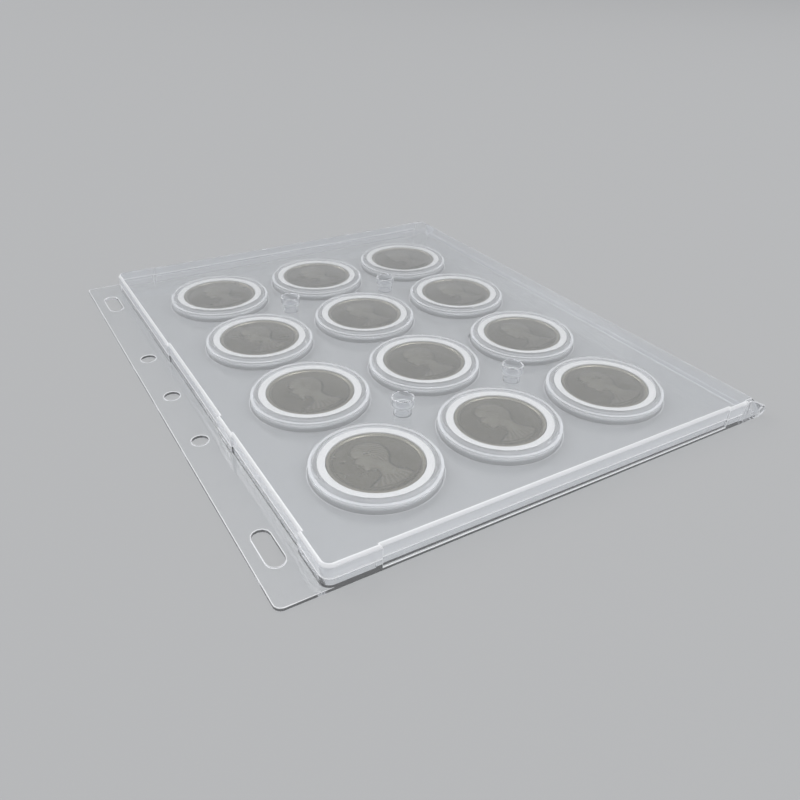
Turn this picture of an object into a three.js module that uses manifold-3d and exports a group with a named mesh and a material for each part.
// Album page for coin capsules: a clear, flat case moulded in one with its binder strip, a hinged
// clear lid that snaps down over it, and twelve round capsules, each with a coin in a soft ring.
// Millimetres, +Z up. X runs from the binder strip to the hinge and Y from the front end to the
// back end. The page is modelled from its front corner on the strip side, and the finished group
// is moved so that its origin lies under the middle of the page.

import * as THREE from 'three';
import { mergeVertices } from 'three/addons/utils/BufferGeometryUtils.js';
import Module from 'manifold-3d';

const wasm = await Module();
wasm.setup();

// Arrangement of the capsules
const columns = 3;
const rows = 4;
const capsuleSpacing = 7.1; // free space between two neighbours
const stripMargin = 18.5; // from the outer capsules to the case's strip side
const hingeMargin = 17.5; // from the outer capsules to the lid's hinge edge
const endMargin = 20.25; // from the outer capsules to the case's short ends

// Clearances
const clearance = 0.3; // between pieces that sit in or beside each other
const seatClearance = 0.45; // round a capsule in its shallow seat
const swingGap = 0.4; // between the lid's ends and the hinge cheeks

// Page floor and binder strip
const stripWidth = 16.4;
const backLedge = 7.6; // floor that runs on behind the case
const hingeLedge = 6.5; // floor that runs on past the lid's hinge edge
const floorThickness = 1.6;
const floorCornerRadius = 3;
const ringHoleRadius = 3.5;
const ringHoleSpacing = 40;
const ringHoleInset = 8.6; // from the strip's outer edge
const slotWidth = 7;
const slotLength = 20;
const slotOffset = 113; // from the middle of the page
const seatDepth = 0.6;
const studRadius = 4.1; // hollow studs on the floor, between the capsules
const studWall = 1;

// Case walls
const pageHeight = 11.2;
const partingHeight = 5.6; // where the tray's wall and the lid's skirt meet
const trayWallThickness = 2.2;
const lipHeight = 1.1;
const caseCornerRadius = 4;
const panelStep = 0.8; // how far the middle of each side stands back
const endPanelLeft = 21.6; // from the case's strip side to the end panels
const endPanelRight = 16.8; // from the end panels to the lid's hinge edge
const sidePanelStart = 20.5; // from the case's front end
const sidePanelLength = 151;
const thumbTabStart = 84.5; // from the case's front end
const thumbTabWidth = 16;

// Lid
const lidThickness = 1.4;
const skirtThickness = 1.1;
const lidChamfer = 0.9;
const sleeveWall = 0.8; // short tubes that slip over the tray's studs

// Hinge
const knuckleRadius = 2.8;
const knuckleLift = 0.3; // knuckle's lowest point above the page's underside
const knuckleOverhang = 0.4; // pivot past the floor's edge
const cheekThickness = 1.2;
const cheekReach = 14.1; // round edge of the cheek, from the pivot
const cheekTopWidth = 2.5;
const pinRadius = 1.6;
const armThickness = 1.6;
const armEndRadius = 2.4;
const armRootWidth = 6.2;
const armRootInset = 0.5; // from the lid's hinge edge
const spineThickness = 1.6;
const spineInset = 0.7; // from the lid's hinge edge to the spine wall
const spineEndGap = 0.6; // from each arm to the spine wall's end

// Capsule, coin and soft ring
const shellThickness = 1.3; // flat of the capsule's lower half
const windowThickness = 1.4; // flat of its upper half
const wallThickness = 1.5; // round wall of the lower half
const lowerHalfHeight = 3;
const plugWall = 1.45; // ring of the upper half that plugs into the lower one
const gripRimHeight = 1.1; // rim of the upper half that a fingernail lifts
const grooveDepth = 1.25;
const windowTaper = 0.3;
const footChamfer = 0.45;
const coinRadius = 19.35;
const coinThickness = 2.6;
const coinRimWidth = 1.15;
const coinRimHeight = 0.25;
const foamWidth = 3.25;
const foamHeight = 2.9;
const foamHeadroom = 0.6; // from the soft ring to the window

// Facets
const capsuleSegments = 20;
const seatSegments = 36;
const swingSegments = 24; // half the steps round the lid's swing about its pivot
const smallSegments = 16; // round the studs, ring holes, bores and pins
const cornerSegments = 3; // half the steps of a rounded corner

// Places worked out from the sizes above
const plugInner = coinRadius + clearance + foamWidth + clearance;
const plugOuter = plugInner + plugWall;
const capsuleRadius = plugOuter + clearance + wallThickness;
const capsuleHeight = shellThickness + foamHeight + foamHeadroom + windowThickness;
const pitch = 2 * capsuleRadius + capsuleSpacing;
const caseLeft = stripWidth;
const caseRight = caseLeft + stripMargin + (columns - 1) * pitch + 2 * capsuleRadius + hingeMargin;
const caseFront = 0;
const caseBack = caseFront + 2 * endMargin + (rows - 1) * pitch + 2 * capsuleRadius;
const firstColumn = caseLeft + stripMargin + capsuleRadius;
const firstRow = caseFront + endMargin + capsuleRadius;
const pageDepth = caseBack + backLedge;
const pageMiddle = pageDepth / 2;
const floorRight = caseRight + hingeLedge;
const pivotX = floorRight + knuckleOverhang;
const pivotZ = knuckleRadius + knuckleLift;
const pageWidth = pivotX + knuckleRadius;
const trayWallTop = partingHeight - clearance / 2;
const lipTop = trayWallTop + lipHeight;
const skirtBottom = partingHeight + clearance / 2;
const lidInside = pageHeight - lidThickness;
const lipThickness = trayWallThickness - skirtThickness - clearance;
const earReach = cheekReach + swingGap;
const hingeZone = cheekThickness + clearance; // the cheek's share of each end, with its gap
const past = 5; // how far a cutting solid runs past what it cuts

// Solids are joined and cut here, and go back to plain geometry at the end.
function solidOf(geometry) {
  geometry.deleteAttribute('normal');
  geometry.deleteAttribute('uv');
  const merged = mergeVertices(geometry, 1e-4);
  const corners = merged.index.array;
  const triangles = [];
  for (let i = 0; i < corners.length; i += 3) {
    const [a, b, c] = corners.slice(i, i + 3);
    if (a !== b && b !== c && c !== a) triangles.push(a, b, c);
  }
  return new wasm.Manifold(new wasm.Mesh({
    numProp: 3,
    vertProperties: new Float32Array(merged.attributes.position.array),
    triVerts: new Uint32Array(triangles),
  }));
}

function geometryOf(solid) {
  const mesh = solid.getMesh();
  const geometry = new THREE.BufferGeometry();
  geometry.setAttribute('position', new THREE.Float32BufferAttribute(mesh.vertProperties, 3));
  geometry.setIndex(Array.from(mesh.triVerts));
  geometry.computeVertexNormals();
  return geometry;
}

function joined(solids) {
  return solids.reduce((whole, solid) => whole.add(solid));
}

// A flat outline raised from zLow to zHigh, with an optional chamfer round both faces
function raise(shape, zLow, zHigh, chamfer = 0) {
  const geometry = new THREE.ExtrudeGeometry(shape, {
    depth: zHigh - zLow - 2 * chamfer,
    curveSegments: cornerSegments,
    bevelEnabled: chamfer > 0,
    bevelSize: chamfer,
    bevelThickness: chamfer,
    bevelOffset: -chamfer,
    bevelSegments: 1,
  });
  geometry.translate(0, 0, zLow + chamfer);
  return solidOf(geometry);
}

// An outline drawn in X and Z, from yLow to yHigh
function raiseAlongY(shape, yLow, yHigh, segments = smallSegments / 2) {
  const options = { depth: yHigh - yLow, curveSegments: segments, bevelEnabled: false };
  const geometry = new THREE.ExtrudeGeometry(shape, options);
  geometry.rotateX(Math.PI / 2);
  geometry.translate(0, yHigh, 0);
  return solidOf(geometry);
}

// A profile of radius and height, turned round the Z axis
function revolve(profile, segments) {
  const points = profile.map(([radius, height]) => new THREE.Vector2(radius, height));
  const geometry = new THREE.LatheGeometry(points, segments);
  geometry.rotateX(Math.PI / 2);
  return solidOf(geometry);
}

function disc(radius, zLow, zHigh, segments) {
  return revolve([[0, zLow], [radius, zLow], [radius, zHigh], [0, zHigh]], segments);
}

function box(xLow, xHigh, yLow, yHigh, zLow, zHigh) {
  const geometry = new THREE.BoxGeometry(xHigh - xLow, yHigh - yLow, zHigh - zLow);
  geometry.translate((xLow + xHigh) / 2, (yLow + yHigh) / 2, (zLow + zHigh) / 2);
  return solidOf(geometry);
}

// The same solid at the front end and mirrored at the back end
function atBothEnds(solid) {
  return solid.add(solid.mirror([0, 1, 0]).translate([0, caseFront + caseBack, 0]));
}

// The places of the capsules, and of the studs between them in every second gap of the rows
function capsulePlaces() {
  const places = [];
  for (let row = 0; row < rows; row += 1) {
    for (let column = 0; column < columns; column += 1) {
      const x = firstColumn + column * pitch;
      const y = firstRow + row * pitch;
      places.push({ x, y, name: `r${row + 1}_c${column + 1}` });
    }
  }
  return places;
}

function studPlaces() {
  const places = [];
  for (let row = 0; row < rows - 1; row += 2) {
    for (let column = 0; column < columns - 1; column += 1) {
      places.push([firstColumn + (column + 0.5) * pitch, firstRow + (row + 0.5) * pitch, 0]);
    }
  }
  return places;
}

// The case seen from above, with each side's middle stood back and a thumb tab on the strip side.
// Everything moves in by the inset, and the hinge side is cut off straight at the right.
function caseOutline(inset, right) {
  const left = caseLeft + inset;
  const front = caseFront + inset;
  const back = caseBack - inset;
  const leftPanel = left + panelStep;
  const frontPanel = front + panelStep;
  const backPanel = back - panelStep;
  const endStart = caseLeft + endPanelLeft - inset;
  const endStop = caseRight - endPanelRight + inset;
  const sideStart = caseFront + sidePanelStart - inset;
  const sideStop = caseFront + sidePanelStart + sidePanelLength + inset;
  const tabStart = caseFront + thumbTabStart + inset;
  const tabStop = caseFront + thumbTabStart + thumbTabWidth - inset;
  const radius = caseCornerRadius - inset;
  const shape = new THREE.Shape();
  shape.moveTo(left + radius, front);
  shape.lineTo(endStart, front);
  shape.lineTo(endStart, frontPanel);
  shape.lineTo(endStop, frontPanel);
  shape.lineTo(endStop, front);
  shape.lineTo(right, front);
  shape.lineTo(right, back);
  shape.lineTo(endStop, back);
  shape.lineTo(endStop, backPanel);
  shape.lineTo(endStart, backPanel);
  shape.lineTo(endStart, back);
  shape.lineTo(left + radius, back);
  shape.absarc(left + radius, back - radius, radius, Math.PI / 2, Math.PI, false);
  shape.lineTo(left, sideStop);
  shape.lineTo(leftPanel, sideStop);
  shape.lineTo(leftPanel, tabStop);
  shape.lineTo(left, tabStop);
  shape.lineTo(left, tabStart);
  shape.lineTo(leftPanel, tabStart);
  shape.lineTo(leftPanel, sideStart);
  shape.lineTo(left, sideStart);
  shape.lineTo(left, front + radius);
  shape.absarc(left + radius, front + radius, radius, Math.PI, 1.5 * Math.PI, false);
  return shape;
}

// Floor of the page and its binder strip: one flat sheet, round-cornered on the strip side
function pageFloor() {
  const radius = floorCornerRadius;
  const shape = new THREE.Shape();
  shape.moveTo(radius, 0);
  shape.lineTo(floorRight, 0);
  shape.lineTo(floorRight, pageDepth);
  shape.lineTo(radius, pageDepth);
  shape.absarc(radius, pageDepth - radius, radius, Math.PI / 2, Math.PI, false);
  shape.lineTo(0, radius);
  shape.absarc(radius, radius, radius, Math.PI, 1.5 * Math.PI, false);
  return raise(shape, 0, floorThickness);
}

// Three round holes and two long slots for the rings of a binder
function binderHoles() {
  const cutters = [-1, 0, 1].map((step) => {
    const hole = disc(ringHoleRadius, -past, floorThickness + past, smallSegments);
    return hole.translate([ringHoleInset, pageMiddle + step * ringHoleSpacing, 0]);
  });
  for (const side of [-1, 1]) {
    const radius = slotWidth / 2;
    const reach = slotLength / 2 - radius;
    const shape = new THREE.Shape();
    shape.absarc(0, reach, radius, 0, Math.PI, false);
    shape.absarc(0, -reach, radius, Math.PI, 2 * Math.PI, false);
    const slot = raise(shape, -past, floorThickness + past);
    cutters.push(slot.translate([ringHoleInset, pageMiddle + side * slotOffset, 0]));
  }
  return joined(cutters);
}

// Tray wall on three sides, with a thinner lip that the lid's skirt slips over
function trayWalls() {
  const wallEnd = pivotX - earReach;
  const low = floorThickness / 2;
  const lipInset = skirtThickness + clearance;
  const wall = raise(caseOutline(0, wallEnd), low, trayWallTop);
  const lip = raise(caseOutline(lipInset, wallEnd), low, lipTop);
  const inside = raise(caseOutline(lipInset + lipThickness, wallEnd + past), 0, pageHeight);
  return wall.add(lip).subtract(inside);
}

// One hinge cheek at the front end: round towards the lid, sloping down to a bored knuckle
function hingeCheek() {
  const top = pageHeight - clearance;
  const jointAngle = Math.PI - Math.asin((trayWallTop - pivotZ) / cheekReach);
  const topAngle = Math.PI - Math.asin((top - pivotZ) / cheekReach);
  const topEnd = pivotX + cheekReach * Math.cos(topAngle) + cheekTopWidth;
  const reach = Math.hypot(pivotX - topEnd, top - pivotZ);
  const slope = Math.atan2(top - pivotZ, topEnd - pivotX) - Math.acos(knuckleRadius / reach);
  const wallEnd = pivotX - earReach - trayWallThickness;
  const shape = new THREE.Shape();
  shape.moveTo(wallEnd, knuckleLift);
  shape.lineTo(pivotX, knuckleLift);
  shape.absarc(pivotX, pivotZ, knuckleRadius, 1.5 * Math.PI, 2 * Math.PI + slope, false);
  shape.lineTo(topEnd, top);
  shape.absarc(pivotX, pivotZ, cheekReach, topAngle, jointAngle, false);
  shape.lineTo(wallEnd, trayWallTop);
  const bore = new THREE.Path();
  bore.absarc(pivotX, pivotZ, pinRadius + clearance, 0, 2 * Math.PI, true);
  shape.holes.push(bore);
  return raiseAlongY(shape, caseFront, caseFront + cheekThickness);
}

// Low wall under the lid's hinge edge, between the two arms
function spineWall() {
  const start = caseFront + hingeZone + armThickness + spineEndGap;
  const left = caseRight + spineInset;
  const top = lidInside - clearance;
  const back = caseFront + caseBack - start;
  return box(left, left + spineThickness, start, back, floorThickness / 2, top);
}

// Shallow round seats for the capsules
function capsuleSeats() {
  const bottom = floorThickness - seatDepth;
  const seat = disc(capsuleRadius + seatClearance, bottom, floorThickness + past, seatSegments);
  return joined(capsulePlaces().map(({ x, y }) => seat.translate([x, y, 0])));
}

// A tube from zLow to zHigh
function tube(innerRadius, wall, zLow, zHigh) {
  const outerRadius = innerRadius + wall;
  return revolve([
    [innerRadius, zLow], [outerRadius, zLow], [outerRadius, zHigh], [innerRadius, zHigh],
    [innerRadius, zLow],
  ], smallSegments);
}

// Hollow studs on the floor, as high as the lip of the tray's wall
function trayStuds() {
  const stud = tube(studRadius - studWall, studWall, floorThickness / 2, lipTop);
  return joined(studPlaces().map((place) => stud.translate(place)));
}

// Room in the floor for the round end of each arm as it turns
function armNotches() {
  const low = caseFront + cheekThickness;
  const high = low + armThickness + 2 * clearance;
  const left = pivotX - armEndRadius - 3 * clearance;
  return atBothEnds(box(left, floorRight + past, low, high, -past, floorThickness + past));
}

function baseTray() {
  return pageFloor()
    .subtract(capsuleSeats())
    .add(trayWalls())
    .add(spineWall())
    .add(trayStuds())
    .add(atBothEnds(hingeCheek()))
    .subtract(armNotches())
    .subtract(binderHoles());
}

// Lid plate and skirt in one shell, open towards the hinge, with its ends rounded off about the
// pivot where the cheeks stand
function lidShell() {
  const outside = raise(caseOutline(0, caseRight), 0, pageHeight, lidChamfer);
  const below = box(-past, pageWidth + past, -past, pageDepth + past, -past, skirtBottom);
  const inside = raise(caseOutline(skirtThickness, caseRight + past), 0, lidInside);
  const round = new THREE.Shape();
  round.absarc(pivotX, pivotZ, earReach, 0, 2 * Math.PI, false);
  const ear = raiseAlongY(round, caseFront - past, caseFront + hingeZone, swingSegments);
  return outside.subtract(below).subtract(inside).subtract(atBothEnds(ear));
}

// One arm at the front end: from the plate down to a round end, with a pin moulded on its
// outer face that turns in the cheek's bore
function lidArm() {
  const start = caseFront + hingeZone;
  const top = lidInside + lidThickness / 2;
  const rootRight = caseRight - armRootInset;
  const rootLeft = rootRight - armRootWidth;
  const tangentAngle = (x, turn) => {
    const reach = Math.hypot(x - pivotX, top - pivotZ);
    return Math.atan2(top - pivotZ, x - pivotX) + turn * Math.acos(armEndRadius / reach);
  };
  const shape = new THREE.Shape();
  shape.moveTo(rootLeft, top);
  shape.absarc(pivotX, pivotZ, armEndRadius, tangentAngle(rootLeft, 1),
    2 * Math.PI + tangentAngle(rootRight, -1), false);
  shape.lineTo(rootRight, top);
  const pin = new THREE.Shape();
  pin.absarc(pivotX, pivotZ, pinRadius, 0, 2 * Math.PI, false);
  const arm = raiseAlongY(shape, start, start + armThickness);
  return arm.add(raiseAlongY(pin, caseFront, start + armThickness / 2));
}

// Short tubes under the plate that slip over the tray's studs as the lid shuts
function lidSleeves() {
  const high = lidInside + lidThickness / 2;
  const sleeve = tube(studRadius + clearance, sleeveWall, skirtBottom, high);
  return joined(studPlaces().map((place) => sleeve.translate(place)));
}

function lid() {
  return lidShell().add(lidSleeves()).add(atBothEnds(lidArm()));
}

// Capsule's lower half: a shallow dish
function capsuleBottom() {
  const inner = capsuleRadius - wallThickness;
  return revolve([
    [0, 0], [capsuleRadius - footChamfer, 0], [capsuleRadius, footChamfer],
    [capsuleRadius, lowerHalfHeight], [inner, lowerHalfHeight], [inner, shellThickness],
    [0, shellThickness],
  ], capsuleSegments);
}

// Capsule's upper half: a window with a ring that plugs into the lower half and a grip rim
function capsuleTop() {
  const inside = capsuleHeight - windowThickness;
  const plugBottom = shellThickness + clearance;
  const rimBottom = lowerHalfHeight + clearance;
  const rimTop = rimBottom + gripRimHeight;
  const neck = capsuleRadius - grooveDepth;
  return revolve([
    [0, inside], [plugInner, inside], [plugInner, plugBottom], [plugOuter, plugBottom],
    [plugOuter, rimBottom], [capsuleRadius, rimBottom], [capsuleRadius, rimTop],
    [neck, rimTop], [neck - windowTaper, capsuleHeight], [0, capsuleHeight],
  ], capsuleSegments);
}

// Coin with a raised rim on its upper face, lying on the lower half's flat
function coin() {
  const low = shellThickness;
  const high = low + coinThickness;
  const field = coinRadius - coinRimWidth;
  return revolve([
    [0, low], [coinRadius, low], [coinRadius, high], [field, high],
    [field - coinRimHeight, high - coinRimHeight], [0, high - coinRimHeight],
  ], capsuleSegments);
}

// Soft ring that fills the space between the coin and the capsule's plug
function foamRing() {
  const inner = coinRadius + clearance;
  const outer = inner + foamWidth;
  const low = shellThickness;
  const high = low + foamHeight;
  const profile = [[inner, low], [outer, low], [outer, high], [inner, high], [inner, low]];
  return revolve(profile, capsuleSegments);
}

const clearPlastic = new THREE.MeshStandardMaterial({
  color: 0xdce6ea, roughness: 0.08, metalness: 0, transparent: true, opacity: 0.35,
});
const capsulePlastic = new THREE.MeshStandardMaterial({
  color: 0xe4ecee, roughness: 0.05, metalness: 0, transparent: true, opacity: 0.35,
});
const whiteFoam = new THREE.MeshStandardMaterial({ color: 0xe9e8e2, roughness: 0.95, metalness: 0 });
const coinMetal = new THREE.MeshStandardMaterial({ color: 0x8f8d82, roughness: 0.45, metalness: 0.9 });

function mesh(name, geometry, material) {
  const piece = new THREE.Mesh(geometry, material);
  piece.name = name;
  return piece;
}

const page = new THREE.Group();
page.position.set(-pageWidth / 2, -pageDepth / 2, 0);
page.add(mesh('base_tray', geometryOf(baseTray()), clearPlastic));
page.add(mesh('lid', geometryOf(lid()), clearPlastic));

const capsulePieces = [
  ['capsule_bottom', geometryOf(capsuleBottom()), capsulePlastic],
  ['capsule_top', geometryOf(capsuleTop()), capsulePlastic],
  ['foam_ring', geometryOf(foamRing()), whiteFoam],
  ['coin', geometryOf(coin()), coinMetal],
];
for (const { x, y, name } of capsulePlaces()) {
  const capsule = new THREE.Group();
  capsule.position.set(x, y, floorThickness - seatDepth);
  for (const [piece, geometry, material] of capsulePieces) {
    capsule.add(mesh(`${piece}_${name}`, geometry, material));
  }
  page.add(capsule);
}

const root = new THREE.Group();
root.add(page);
export default root;
